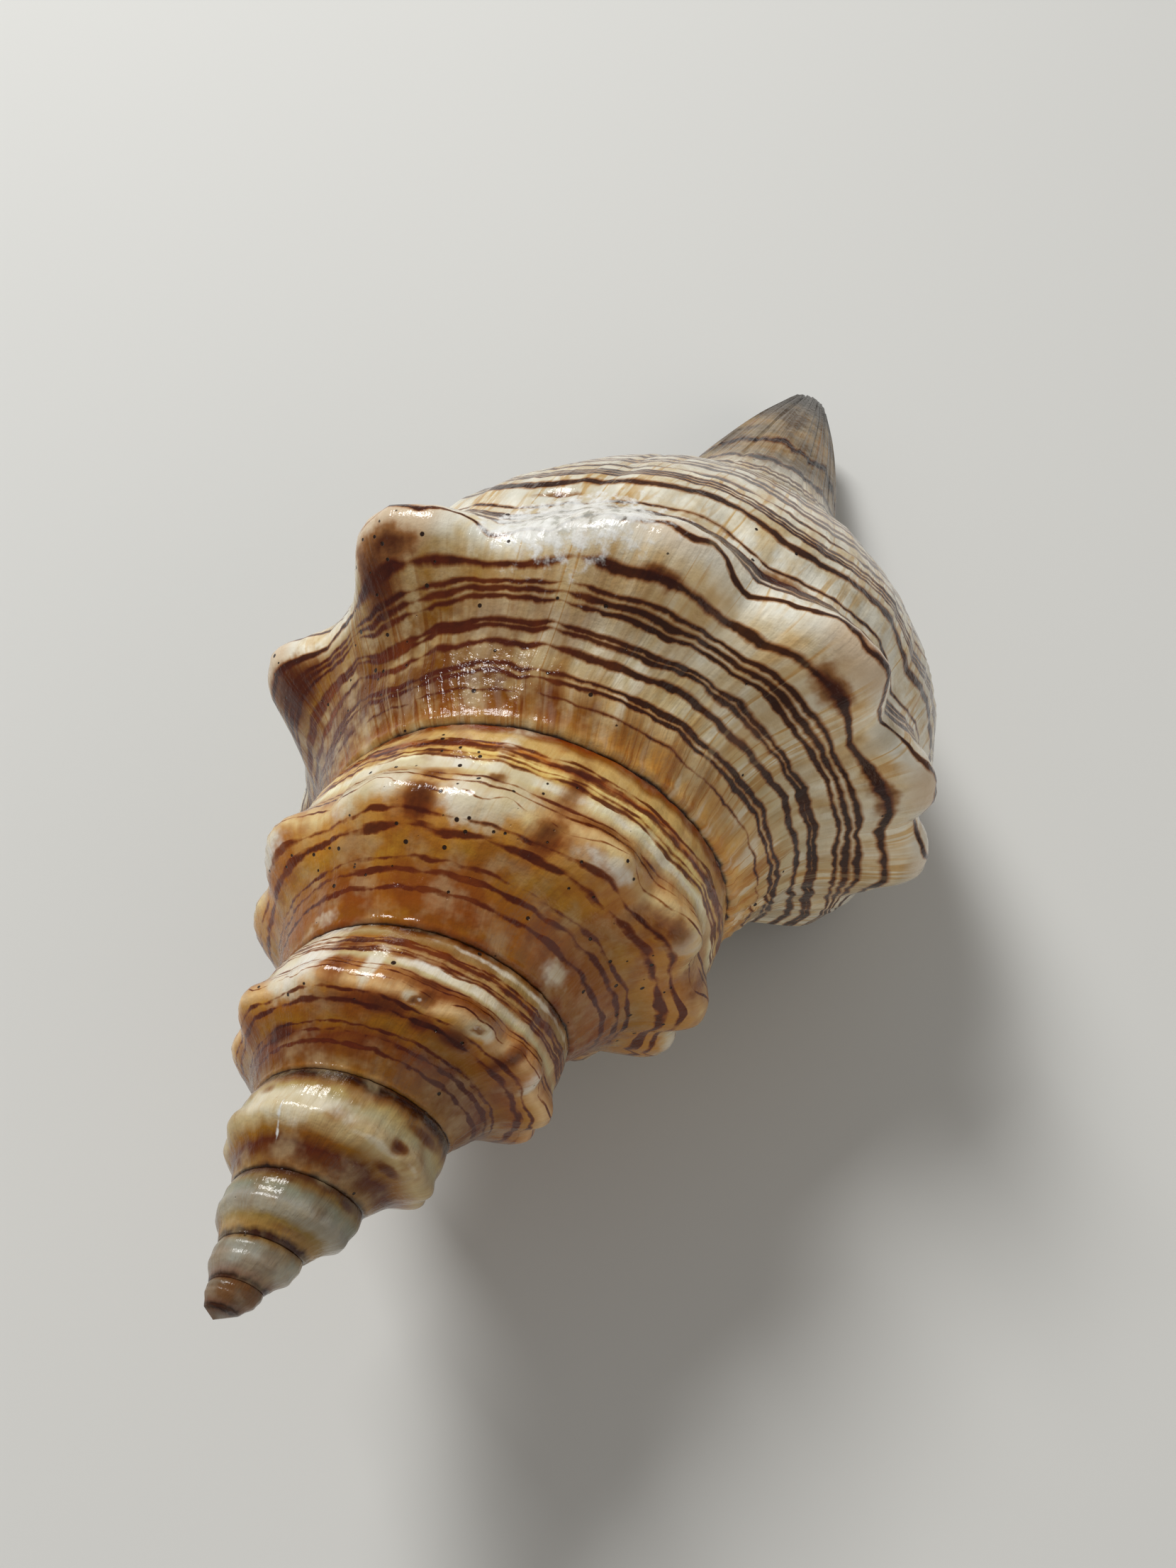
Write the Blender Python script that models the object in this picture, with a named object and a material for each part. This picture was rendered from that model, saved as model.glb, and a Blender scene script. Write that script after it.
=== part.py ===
"""Horse conch shell, lying on its mouth with the spire raised.

The shell is one winding wall. Every growth step has the same outline, which
turns about the coiling axis while it grows by a fixed ratio, so the outer
surface is a loft between unlike sections. In the shell's own frame the axis
is +Z, from the point of the spire to the end of the canal, and angle 0 is the
side that faces the table. The last step turns it on to the table.
"""

import math

import bmesh
import bpy
import numpy as np
from mathutils import Matrix, Vector

MM = 0.001
TURN = 2 * math.pi

# Growth: a turn is counted from the lip, 0, back to the point of the spire.
EXPANSION = 1.587  # how much the outline grows in one turn
FIRST_TURN = -6.5
LIP_ANGLE = math.radians(-58)
APEX_HEIGHT = 2.2 * MM

# Outlines at the lip, as (share of the way, radius, height along the axis).
WHORL = ((0.0, 18.96, 50.15), (0.10, 20.7, 52.9), (0.25, 23.5, 57.6), (0.38, 26.4, 61.0),
         (0.47, 28.3, 63.6), (0.62, 29.3, 67.8), (0.80, 30.9, 73.4), (1.0, 30.09, 79.6))
BASE = ((0.0, 30.09, 79.6), (0.16, 26.3, 86.0), (0.32, 20.8, 92.5), (0.48, 15.2, 98.8),
        (0.64, 11.0, 105.5), (0.80, 8.3, 113.0), (0.92, 5.6, 119.5), (1.0, 2.9, 124.5))
COLUMELLA = ((0.0, 18.96, 50.15), (0.16, 16.0, 58.5), (0.32, 11.6, 69.5), (0.48, 8.6, 82.0),
             (0.64, 7.0, 95.0), (0.80, 5.9, 108.0), (0.92, 4.6, 117.5), (1.0, 2.7, 124.5))
CANAL_END = 126.0 * MM
BASE_FILL = 0.33  # turn over which the base grows out of the columella

# Knobs on the shoulder of the last whorl: turn, height at the lip's size, and the
# turn over which each one rises and falls.
LAST_KNOBS = ((-0.089, 4.0, 0.026, 0.027), (-0.138, 4.4, 0.031, 0.025), (-0.210, 4.8, 0.044, 0.028),
              (-0.305, 4.0, 0.060, 0.034), (-0.443, 6.0, 0.028, 0.042), (-0.553, 5.4, 0.029, 0.028),
              (-0.665, 4.0, 0.040, 0.030), (-0.740, 4.0, 0.034, 0.028), (-0.820, 4.0, 0.034, 0.028),
              (-0.905, 4.0, 0.034, 0.028))
SPIRE_KNOBS = ((-0.995, 3.1, 0.034, 0.026), (-1.064, 3.2, 0.032, 0.026), (-1.155, 3.4, 0.036, 0.026),
               (-1.235, 2.4, 0.036, 0.028), (-1.326, 1.3, 0.040, 0.034), (-1.400, 2.2, 0.040, 0.034),
               (-1.515, 3.4, 0.036, 0.034), (-1.610, 3.6, 0.036, 0.034), (-1.700, 3.4, 0.034, 0.030),
               (-1.790, 3.4, 0.034, 0.030), (-1.890, 3.4, 0.034, 0.030))
KNOB_FADE = (1.0, 0.9, 0.6, 0.2)  # height on each whorl of the spire, from the second to the fifth
KNOB_PLACE = 0.485  # share of the way from suture to suture
KNOB_LENGTH = (0.140, 0.165)  # above and below that place
KNOB_ROUND = 2.4  # 2 gives a bell, and more a blunter knob
RIDGE = 0.8 * MM  # how far the shoulder stands out between the knobs
# The third whorl is fuller than steady growth gives: share of the radius, turn, turns either way.
SWELL = (0.05, -2.7, 0.8)
# The slope is drawn in beside the lip: depth, turns it takes, place, share either way.
PINCH = (1.5 * MM, 0.09, 0.28, 0.20)
SUTURE_SHARE = 0.1  # the slope is drawn in only past this share, so that the sutures keep their place

# The canal bends away from the table, and the base leans a little to the lip.
BEND_START = 84.0 * MM
BEND = (-5.3 * MM, -1.3 * MM)
SWING_START = 58.0 * MM
SWING = -4.0 * MM

# The hollow that the animal lived in.
WALL = 2.4 * MM
LIP_WALL = 1.5 * MM
GLAZE = 0.9 * MM
HOLLOW_TURNS = 1.12
HOLLOW_PAST_LIP = 0.035
HOLLOW_ENDS = (0.52, 0.72)  # share of the base that the hollow reaches, deep inside and at the lip
CANAL_REACH = 0.16  # turn over which the hollow draws back from the canal

# The groove in the canal, as (height, distance from the axis, angle, radius).
CANAL = ((90.0, 12.0, -66.0, 4.2), (98.0, 9.4, -56.0, 4.0), (106.0, 6.6, -44.0, 3.3),
         (114.0, 4.6, -32.0, 2.5), (121.0, 3.2, -22.0, 1.9), (128.0, 2.2, -15.0, 1.5))

# Mesh
STEPS_PER_TURN = 70
FEWEST_STEPS = 16
WHORL_ROWS = 11
BASE_ROWS = 13
HOLLOW_SIDE = 9  # points on each side of a section of the hollow
CANAL_SIDES = 10

# Towards the table, in the shell's frame, to pick the side that the shell rests on.
DOWN = Vector((0.954, 0.099, 0.284))

COLOUR = (0.72, 0.53, 0.33, 1.0)
ROUGHNESS = 0.28


def growth(turn):
    """Size of the outline a number of turns from the lip, 1 at the lip."""
    return EXPANSION ** np.asarray(turn, float)


def smooth(x):
    x = np.clip(x, 0, 1)
    return x * x * (3 - 2 * x)


def along(outline, share):
    """Radius and height, in metres, on a smooth curve through an outline's points."""
    points = np.array(outline, float)
    x, y = points[:, 0], points[:, 1:] * MM
    slope = np.gradient(y, x, axis=0)
    i = np.clip(np.searchsorted(x, share, side="right") - 1, 0, len(x) - 2)
    span = (x[i + 1] - x[i])[..., None]
    u = (share - x[i])[..., None] / span
    curve = (2 * u**3 - 3 * u**2 + 1) * y[i] + (u**3 - 2 * u**2 + u) * span * slope[i]
    curve += (3 * u**2 - 2 * u**3) * y[i + 1] + (u**3 - u**2) * span * slope[i + 1]
    return curve[..., 0], curve[..., 1]


def all_knobs():
    knobs = list(LAST_KNOBS)
    for whorl, fade in enumerate(KNOB_FADE):
        knobs += [(turn - whorl, height * fade, rise, fall) for turn, height, rise, fall in SPIRE_KNOBS]
    return knobs


def knob_rise(turn, share):
    """How far the knobs and the ridge that joins them stand out, at the lip's size."""
    above, below = KNOB_LENGTH
    length = np.where(share < KNOB_PLACE, above, below)
    band = np.exp(-(np.abs((share - KNOB_PLACE) / length) ** KNOB_ROUND))
    total = np.zeros_like(band)
    for place, height, rise, fall in all_knobs():
        away = np.abs(turn - place) / np.where(turn < place, rise, fall)
        total += (height * MM * np.exp(-(away**KNOB_ROUND))) ** 2
    return (np.sqrt(total) + RIDGE * smooth((turn - FIRST_TURN) / 3)) * band


def base_outline(turn, share):
    """The last whorl below its widest part: the base, or the columella beside the mouth."""
    size = growth(turn)
    top = WHORL[-1][2] * MM * size

    def stretched(outline, height):
        start, end = outline[0][2] * MM, outline[-1][2] * MM
        return top + (height - start) / (end - start) * (end - top)

    base_radius, base_height = along(BASE, share)
    grown = smooth(share * 0.8)
    base_radius = base_radius * (size * (1 - grown) + grown)
    inner_radius, inner_height = along(COLUMELLA, share)
    near = np.clip(share / 0.3, 0, 1)
    inner_radius = inner_radius * (size * EXPANSION * (1 - near) + near)
    full = smooth((turn + 1) / BASE_FILL)
    radius = inner_radius * (1 - full) + base_radius * full
    height = stretched(COLUMELLA, inner_height) * (1 - full) + stretched(BASE, base_height) * full
    return radius, height


def whorl_outline(turn, share):
    """A whorl from suture to suture, without its knobs, at the lip's size."""
    radius, height = along(WHORL, share)
    fuller, middle, reach = SWELL
    swollen = np.exp(-(((turn - middle) / reach) ** 2)) * np.sin(math.pi * share) ** 2
    depth, turns, place, width = PINCH
    drawn_in = smooth(1 + turn / turns) * np.exp(-(((share - place) / width) ** 2))
    drawn_in = drawn_in * np.clip(share / SUTURE_SHARE, 0, 1)
    return radius * (1 + fuller * swollen) - depth * drawn_in, height


def outer_point(turn, share):
    """Outer surface: share runs 0 to 1 from suture to suture, and 1 to 2 down to the canal's end."""
    turn, share = np.broadcast_arrays(np.asarray(turn, float), np.asarray(share, float))
    size = growth(turn)
    radius, height = whorl_outline(turn, np.clip(share, 0, 1))
    base_radius, base_height = base_outline(turn, np.clip(share - 1, 0, 1))
    radius = np.where(share > 1, base_radius, radius * size) + knob_rise(turn, share) * size
    height = np.where(share > 1, base_height, height * size)
    return around_axis(radius, LIP_ANGLE + TURN * turn, height)


def bent(points):
    """The straight shell's points with the canal bent."""
    points = np.array(points, float)
    bend = np.clip((points[:, 2] - BEND_START) / (CANAL_END - BEND_START), 0, None) ** 2
    swing = np.clip((points[:, 2] - SWING_START) / (CANAL_END - SWING_START), 0, 1)
    points[:, 0] += BEND[0] * bend
    points[:, 1] += BEND[1] * bend + SWING * swing * (1.25 - swing)
    return points


def growth_steps(steps_per_turn):
    """Turns at which a section stands, from the spire's point to the lip, one of them at -1."""
    steps = [0.0]
    while steps[-1] > FIRST_TURN:
        count = max(FEWEST_STEPS, steps_per_turn * float(growth(steps[-1])) ** 0.45)
        following = steps[-1] - 1 / count
        steps.append(-1.0 if steps[-1] > -1 > following else following)
    steps[-1] = FIRST_TURN
    return np.array(steps[::-1])


def strip(first, second):
    """Triangles between two rows of (place, vertex) that may have unlike counts."""
    faces, i, j = [], 0, 0
    while i < len(first) - 1 or j < len(second) - 1:
        if j == len(second) - 1 or (i < len(first) - 1 and first[i + 1][0] <= second[j + 1][0]):
            faces.append((first[i][1], second[j][1], first[i + 1][1]))
            i += 1
        else:
            faces.append((first[i][1], second[j][1], second[j + 1][1]))
            j += 1
    return [face for face in faces if len(set(face)) == 3]


def spaced(row):
    return [(k / (len(row) - 1), vertex) for k, vertex in enumerate(row)]


def outer_surface(steps_per_turn, whorl_rows, base_rows):
    """Points and faces of the shell as if it were solid, with a step where the lip ends."""
    turns = growth_steps(steps_per_turn)
    count = len(turns)
    last = int(np.argmin(np.abs(turns + 1)))
    whorl = np.arange(count * whorl_rows).reshape(count, whorl_rows)
    base = whorl.size + np.arange((count - last) * (base_rows + 1)).reshape(-1, base_rows + 1)
    base_shares = 1 + np.arange(base_rows + 1) / base_rows
    points = [
        outer_point(turns[:, None], np.arange(whorl_rows)[None, :] / whorl_rows).reshape(-1, 3),
        outer_point(turns[last:, None], base_shares[None, :]).reshape(-1, 3),
    ]
    base[0, 0] = whorl[-1, 0]  # the suture under the lip
    end = whorl.size + (count - last) * (base_rows + 1)
    apex = end + 1
    points += [[(0, 0, CANAL_END)], [(0, 0, APEX_HEIGHT)]]

    rows = np.hstack([whorl[last:], base])
    faces = grid(whorl[: last + 1]) + grid(rows)
    # Each earlier whorl ends on the suture, which is the edge of the whorl after it.
    lower = [(turns[i], whorl[i, -1]) for i in range(last + 1)]
    suture = [(turns[i] - 1, whorl[i, 0]) for i in range(count) if turns[i] - 1 >= FIRST_TURN]
    faces += strip(suture, lower)
    faces += [(base[i, -1], base[i + 1, -1], end) for i in range(len(base) - 1)]
    # The step at the lip, from the columella out to the lip's edge.
    faces += strip(spaced(list(rows[-1])), spaced(list(base[0])))
    faces.append((base[-1, -1], base[0, -1], end))
    # The spire's point.
    opening = [whorl[i, 0] for i in range(count) if turns[i] < suture[0][0] + 1]
    opening += [suture[0][1]] + list(whorl[0, ::-1])
    faces += [(apex, opening[k + 1], opening[k]) for k in range(len(opening) - 1)]
    return bent(np.concatenate([np.asarray(part, float) for part in points])), faces


def grid(rows):
    """Quads of a grid of vertices, facing out when a row runs down and the next is later in growth."""
    return [
        (rows[i][j], rows[i + 1][j], rows[i + 1][j + 1], rows[i][j + 1])
        for i in range(len(rows) - 1)
        for j in range(len(rows[0]) - 1)
    ]


def offset_outline(radius, height, distance):
    """An outline in the radius and height plane moved sideways, to its left for a distance over 0."""
    along_r, along_z = np.gradient(radius), np.gradient(height)
    length = np.hypot(along_r, along_z)
    return radius - distance * along_z / length, height + distance * along_r / length


def hollow_section(turn):
    """One closed section of the hollow: down inside the outer wall, then back up the columella."""
    deep, at_lip = HOLLOW_ENDS
    end = deep + (at_lip - deep) * (1 - smooth(-turn / CANAL_REACH))
    wall = LIP_WALL + (WALL - LIP_WALL) * smooth(-turn / 0.06)
    whorl = along(WHORL, np.linspace(0.30, 1, HOLLOW_SIDE // 2 + 1)[:-1])
    base = along(BASE, np.linspace(0, end, HOLLOW_SIDE))
    outer = offset_outline(np.append(whorl[0], base[0]), np.append(whorl[1], base[1]), wall)
    column = offset_outline(*along(COLUMELLA, np.linspace(end, 0.05, HOLLOW_SIDE)), GLAZE)
    return np.append(outer[0], column[0]), np.append(outer[1], column[1])


def loft(sections):
    """Points and faces of a closed loft through sections with the same number of points."""
    sides = len(sections[0])
    rings = np.arange(len(sections) * sides).reshape(-1, sides)
    faces = grid(np.hstack([rings, rings[:, :1]]))
    return bent(np.concatenate(sections)), faces + [tuple(rings[0]), tuple(rings[-1][::-1])]


def around_axis(radius, angle, height):
    """Points of the shell's frame from radius, angle and height."""
    angle = np.broadcast_to(angle, np.shape(radius))
    return np.stack([radius * np.cos(angle), radius * np.sin(angle), height], -1)


def hollow_surface():
    """The hollow, from inside the shell to just past the lip."""
    sections = []
    for turn in np.linspace(-HOLLOW_TURNS, HOLLOW_PAST_LIP, round(HOLLOW_TURNS * STEPS_PER_TURN / 2)):
        radius, height = hollow_section(turn)
        sections.append(growth(turn) * around_axis(radius, LIP_ANGLE + TURN * turn, height))
    return loft(sections)


def canal_surface():
    """The groove from the mouth to the end of the canal."""
    way = np.array(CANAL)
    ring = -TURN * np.arange(CANAL_SIDES) / CANAL_SIDES
    sections = []
    for height, distance, angle, radius in way:
        middle = around_axis(distance * MM, math.radians(angle), height * MM)
        circle = np.stack([np.cos(ring), np.sin(ring), 0 * ring], -1) * radius * MM
        sections.append(middle + circle)
    return loft(sections)


def resting_pose(points):
    """Matrix that lays the shell on the side of its hull that faces the table."""
    hull = bmesh.new()
    for point in points:
        hull.verts.new(point)
    bmesh.ops.convex_hull(hull, input=hull.verts)
    bmesh.ops.recalc_face_normals(hull, faces=hull.faces)
    under = max(hull.faces, key=lambda face: face.normal.dot(DOWN))
    up = -under.normal.copy()
    hull.free()
    forward = Vector((0, 0, 1)) - up * up.z
    forward.normalize()
    turned = Matrix((forward.cross(up), forward, up))
    laid = points @ np.array(turned).T
    low, high = laid.min(0), laid.max(0)
    shift = Vector((-(low[0] + high[0]) / 2, -(low[1] + high[1]) / 2, -low[2]))
    return Matrix.Translation(shift) @ turned.to_4x4()


def mesh_object(name, points, faces, collection):
    mesh = bpy.data.meshes.new(name)
    mesh.from_pydata([tuple(point) for point in points], [], faces)
    shape = bmesh.new()
    shape.from_mesh(mesh)
    bmesh.ops.delete(shape, geom=[v for v in shape.verts if not v.link_faces], context="VERTS")
    bmesh.ops.triangulate(shape, faces=shape.faces)
    shape.to_mesh(mesh)
    shape.free()
    thing = bpy.data.objects.new(name, mesh)
    collection.objects.link(thing)
    return thing


def shell_material():
    material = bpy.data.materials.new("polished shell")
    material.use_nodes = True
    surface = material.node_tree.nodes["Principled BSDF"]
    surface.inputs["Base Color"].default_value = COLOUR
    surface.inputs["Roughness"].default_value = ROUGHNESS
    surface.inputs["Metallic"].default_value = 0.0
    return material


def build():
    for thing in list(bpy.data.objects):
        bpy.data.objects.remove(thing, do_unlink=True)
    parts = bpy.data.collections.new("horse conch shell")
    cutters = bpy.data.collections.new("cutters")
    for collection in (parts, cutters):
        bpy.context.scene.collection.children.link(collection)
    cutters.hide_render = True

    points, faces = outer_surface(STEPS_PER_TURN, WHORL_ROWS, BASE_ROWS)
    pose = resting_pose(points)
    shell = mesh_object("shell", points, faces, parts)
    shell.data.materials.append(shell_material())
    for name, surface in (("hollow", hollow_surface()), ("canal", canal_surface())):
        cutter = mesh_object(name, *surface, cutters)
        cutter.hide_render = True
        cutter.display_type = "WIRE"
        cutter.data.transform(pose)
        cut = shell.modifiers.new(name, "BOOLEAN")
        cut.operation = "DIFFERENCE"
        cut.object = cutter
    shell.data.transform(pose)
    shell.data.shade_smooth()


build()
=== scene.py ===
"""Horse conch shell, dressed: the coloured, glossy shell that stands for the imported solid.

The shell is wound from the same outlines as the solid, at a finer step, with the relief
that a grown shell has: the raised thread along each suture, the folds where growth paused,
the healed scar on the last whorl and the folds on the column inside the mouth. Its colour
is laid out in the shell's own two measures: turn, counted back from the lip at 0, and
share, from one suture at 0 to the next at 1, and on to the end of the canal at 2.
"""

import math
from functools import partial, reduce

import bmesh
import bpy
import numpy as np
from mathutils import Matrix, Vector


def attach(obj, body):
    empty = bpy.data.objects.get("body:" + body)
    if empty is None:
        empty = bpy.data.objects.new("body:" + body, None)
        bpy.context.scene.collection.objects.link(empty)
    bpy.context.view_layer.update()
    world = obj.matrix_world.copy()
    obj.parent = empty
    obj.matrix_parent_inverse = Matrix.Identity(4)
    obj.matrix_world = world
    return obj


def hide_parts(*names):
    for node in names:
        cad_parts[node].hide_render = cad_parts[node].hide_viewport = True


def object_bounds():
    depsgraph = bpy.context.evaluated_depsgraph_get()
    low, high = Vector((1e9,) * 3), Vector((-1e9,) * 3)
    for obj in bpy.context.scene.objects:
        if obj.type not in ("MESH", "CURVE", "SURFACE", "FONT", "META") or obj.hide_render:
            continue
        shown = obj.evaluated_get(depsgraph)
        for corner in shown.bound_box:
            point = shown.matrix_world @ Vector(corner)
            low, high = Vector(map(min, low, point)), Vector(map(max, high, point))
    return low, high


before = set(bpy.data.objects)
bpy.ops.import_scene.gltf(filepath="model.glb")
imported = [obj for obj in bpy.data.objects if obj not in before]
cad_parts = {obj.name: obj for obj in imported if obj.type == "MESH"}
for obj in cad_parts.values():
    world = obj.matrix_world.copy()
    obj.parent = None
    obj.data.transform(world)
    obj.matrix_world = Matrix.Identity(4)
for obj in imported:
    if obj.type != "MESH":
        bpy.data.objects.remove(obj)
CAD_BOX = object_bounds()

MM = 0.001
TURN = 2 * math.pi

# ---- shape, as in the solid

EXPANSION = 1.587  # how much the outline grows in one turn
FIRST_TURN = -6.5
LIP_ANGLE = math.radians(-58)
APEX_HEIGHT = 2.2 * MM

# Outlines at the lip, as (share of the way, radius, height along the axis) in millimetres.
WHORL = (
    (0, 18.96, 50.15), (0.1, 20.7, 52.9), (0.25, 23.5, 57.6), (0.38, 26.4, 61), (0.47, 28.3, 63.6),
    (0.62, 29.3, 67.8), (0.8, 30.9, 73.4), (1, 30.09, 79.6))
BASE = (
    (0, 30.09, 79.6), (0.16, 26.3, 86), (0.32, 20.8, 92.5), (0.48, 15.2, 98.8), (0.64, 11, 105.5), (0.8, 8.3, 113),
    (0.92, 5.6, 119.5), (1, 2.9, 124.5))
COLUMELLA = (
    (0, 18.96, 50.15), (0.16, 16, 58.5), (0.32, 11.6, 69.5), (0.48, 8.6, 82), (0.64, 7, 95), (0.8, 5.9, 108),
    (0.92, 4.6, 117.5), (1, 2.7, 124.5))
CANAL_END = 126.0 * MM
BASE_FILL = 0.33  # turn over which the base grows out of the columella

# Knobs: turn, height at the lip's size, and the turn over which each one rises and falls.
LAST_KNOBS = (
    (-0.089, 4, 0.026, 0.027), (-0.138, 4.4, 0.031, 0.025), (-0.21, 4.8, 0.044, 0.028), (-0.305, 4, 0.06, 0.034),
    (-0.443, 6, 0.028, 0.042), (-0.553, 5.4, 0.029, 0.028), (-0.665, 4, 0.04, 0.03), (-0.74, 4, 0.034, 0.028),
    (-0.82, 4, 0.034, 0.028), (-0.905, 4, 0.034, 0.028))
SPIRE_KNOBS = (
    (-0.995, 3.1, 0.034, 0.026), (-1.064, 3.2, 0.032, 0.026), (-1.155, 3.4, 0.036, 0.026),
    (-1.235, 2.4, 0.036, 0.028), (-1.326, 1.3, 0.04, 0.034), (-1.4, 2.2, 0.04, 0.034), (-1.515, 3.4, 0.036, 0.034),
    (-1.61, 3.6, 0.036, 0.034), (-1.7, 3.4, 0.034, 0.03), (-1.79, 3.4, 0.034, 0.03), (-1.89, 3.4, 0.034, 0.03))
KNOB_FADE = (1.0, 0.9, 0.6, 0.2)  # height on each whorl of the spire, from the second to the fifth
KNOB_PLACE = 0.485  # share of the way from suture to suture
KNOB_LENGTH = (0.140, 0.165)  # above and below that place
KNOB_ROUND = 2.4  # 2 gives a bell, and more a blunter knob
RIDGE = 0.8 * MM  # how far the shoulder stands out between the knobs
SWELL = (0.05, -2.7, 0.8)  # the third whorl is fuller: share of the radius, turn, turns either way
PINCH = (1.5 * MM, 0.09, 0.28, 0.20)  # drawn in beside the lip: depth, turns, place, share
SUTURE_SHARE = 0.1

BEND_START, BEND = 84.0 * MM, (-5.3 * MM, -1.3 * MM)
SWING_START, SWING = 58.0 * MM, -4.0 * MM

WALL, LIP_WALL, GLAZE = 2.4 * MM, 1.5 * MM, 0.9 * MM
HOLLOW_TURNS, HOLLOW_PAST_LIP = 1.12, 0.035
HOLLOW_ENDS = (0.52, 0.72)  # share of the base that the hollow reaches, deep inside and at the lip
CANAL_MARK = (-0.1, 3.9)  # the turn and share that the groove is coloured by
CANAL_REACH = 0.16  # turn over which the hollow draws back from the canal
CANAL = (
    (90, 12, -66, 4.2), (98, 9.4, -56, 4), (106, 6.6, -44, 3.3), (114, 4.6, -32, 2.5), (121, 3.2, -22, 1.9),
    (128, 2.2, -15, 1.5))
DOWN = Vector((0.954, 0.099, 0.284))  # towards the table, in the shell's frame
SOLID_MESH = (70, 11, 13)  # steps in a turn and rows of the solid, which set how the shell lies
FEWEST_STEPS, THINNING = 16, 0.45  # a small whorl has fewer steps, by this power of its size
INSIDE = 0.9998  # share of the solid's box that the dressed shell may fill

# ---- fine relief

THREAD = 0.18 * MM  # the raised edge of each whorl where it is laid over the one before
SEAM_DEPTH = 0.20 * MM
FOLDS = 0.10 * MM  # growth folds, everywhere
LIP_FOLDS = 0.30 * MM  # growth folds beside the suture, near the lip
SWELLS = 0.10 * MM  # low swellings, everywhere
SCAR = (-0.357, 0.0036, 0.22 * MM)  # turn, half width and depth of the healed break
CRACKS = ((-2.412, 0.0016, 0.14 * MM), (-3.39, 0.0022, 0.10 * MM))
WORN_KNOB = (-0.335, 0.034, 0.53, 0.14, 0.22 * MM)  # turn and reach, share and reach, depth
CRESCENT = (-0.372, 0.009, 0.735, 0.014, 0.45 * MM)
LEDGE = (-2.45, 0.04, 0.42, 0.014, 0.30 * MM)
PLAITS = ((0.40, 0.016, 0.9), (0.47, 0.014, 0.8), (0.535, 0.012, 0.6))  # share, width, height mm
LIRA_GAP = 0.052  # share between the fine ridges inside the lip
LIRA = 0.16 * MM

STEPS_PER_TURN = 290
SLOPE_ROWS = 46
BASE_ROWS = 44
HOLLOW_SIDE = 64
CANAL_SIDES, CANAL_SECTIONS = 24, 24


def growth(turn):
    """Size of the outline a number of turns from the lip, 1 at the lip."""
    return EXPANSION ** np.asarray(turn, float)


def smooth(x):
    x = np.clip(x, 0, 1)
    return x * x * (3 - 2 * x)


def bell(x, place, width):
    return np.exp(-(((x - place) / width) ** 2))


def along(outline, share):
    """Radius and height, in metres, on a smooth curve through an outline's points."""
    points = np.array(outline, float)
    x, y = points[:, 0], points[:, 1:] * MM
    slope = np.gradient(y, x, axis=0)
    i = np.clip(np.searchsorted(x, share, side="right") - 1, 0, len(x) - 2)
    span = (x[i + 1] - x[i])[..., None]
    u = (share - x[i])[..., None] / span
    curve = (2 * u**3 - 3 * u**2 + 1) * y[i] + (u**3 - 2 * u**2 + u) * span * slope[i]
    curve += (3 * u**2 - 2 * u**3) * y[i + 1] + (u**3 - u**2) * span * slope[i + 1]
    return curve[..., 0], curve[..., 1]


def all_knobs():
    knobs = list(LAST_KNOBS)
    for whorl, fade in enumerate(KNOB_FADE):
        knobs += [(turn - whorl, height * fade, rise, fall) for turn, height, rise, fall in SPIRE_KNOBS]
    return knobs


def knobs_at(turn):
    """Height of the knobs along the shoulder, in metres at the lip's size."""
    total = np.zeros_like(turn)
    for place, height, rise, fall in all_knobs():
        away = np.abs(turn - place) / np.where(turn < place, rise, fall)
        total += (height * MM * np.exp(-(away**KNOB_ROUND))) ** 2
    return np.sqrt(total)


def knob_band(share):
    above, below = KNOB_LENGTH
    length = np.where(share < KNOB_PLACE, above, below)
    return np.exp(-(np.abs((share - KNOB_PLACE) / length) ** KNOB_ROUND))


def base_outline(turn, share):
    """The last whorl below its widest part: the base, or the columella beside the mouth."""
    size = growth(turn)
    top = WHORL[-1][2] * MM * size

    def stretched(outline, height):
        start, end = outline[0][2] * MM, outline[-1][2] * MM
        return top + (height - start) / (end - start) * (end - top)

    base_radius, base_height = along(BASE, share)
    grown = smooth(share * 0.8)
    base_radius = base_radius * (size * (1 - grown) + grown)
    inner_radius, inner_height = along(COLUMELLA, share)
    near = np.clip(share / 0.3, 0, 1)
    inner_radius = inner_radius * (size * EXPANSION * (1 - near) + near)
    full = smooth((turn + 1) / BASE_FILL)
    radius = inner_radius * (1 - full) + base_radius * full
    height = stretched(COLUMELLA, inner_height) * (1 - full) + stretched(BASE, base_height) * full
    return radius, height


def whorl_outline(turn, share):
    """A whorl from suture to suture, without its knobs, at the lip's size."""
    radius, height = along(WHORL, share)
    fuller, middle, reach = SWELL
    swollen = bell(turn, middle, reach) * np.sin(math.pi * share) ** 2
    depth, turns, place, width = PINCH
    drawn_in = smooth(1 + turn / turns) * bell(share, place, width)
    drawn_in = drawn_in * np.clip(share / SUTURE_SHARE, 0, 1)
    return radius * (1 + fuller * swollen) - depth * drawn_in, height


# ---- chance, always the same


def wander(x, seed, period):
    """A smooth wandering value of about -1 to 1 along one measure."""
    chance = np.random.default_rng(seed)
    periods = period * chance.uniform(0.6, 3.0, 9)
    starts = chance.uniform(0, TURN, 9)
    total = np.zeros_like(x)
    for length, start in zip(periods, starts):
        total += np.sin(TURN * x / length + start)
    return total / 3.2


def grain(i, j, seed):
    """A value of 0 to 1 for each corner of a lattice."""
    n = (i * 374761393 + j * 668265263 + seed * 2246822519) & 0xFFFFFFFF
    n = ((n ^ (n >> 13)) * 1274126177) & 0xFFFFFFFF
    return ((n ^ (n >> 16)) & 0xFFFF) / 65535


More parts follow.
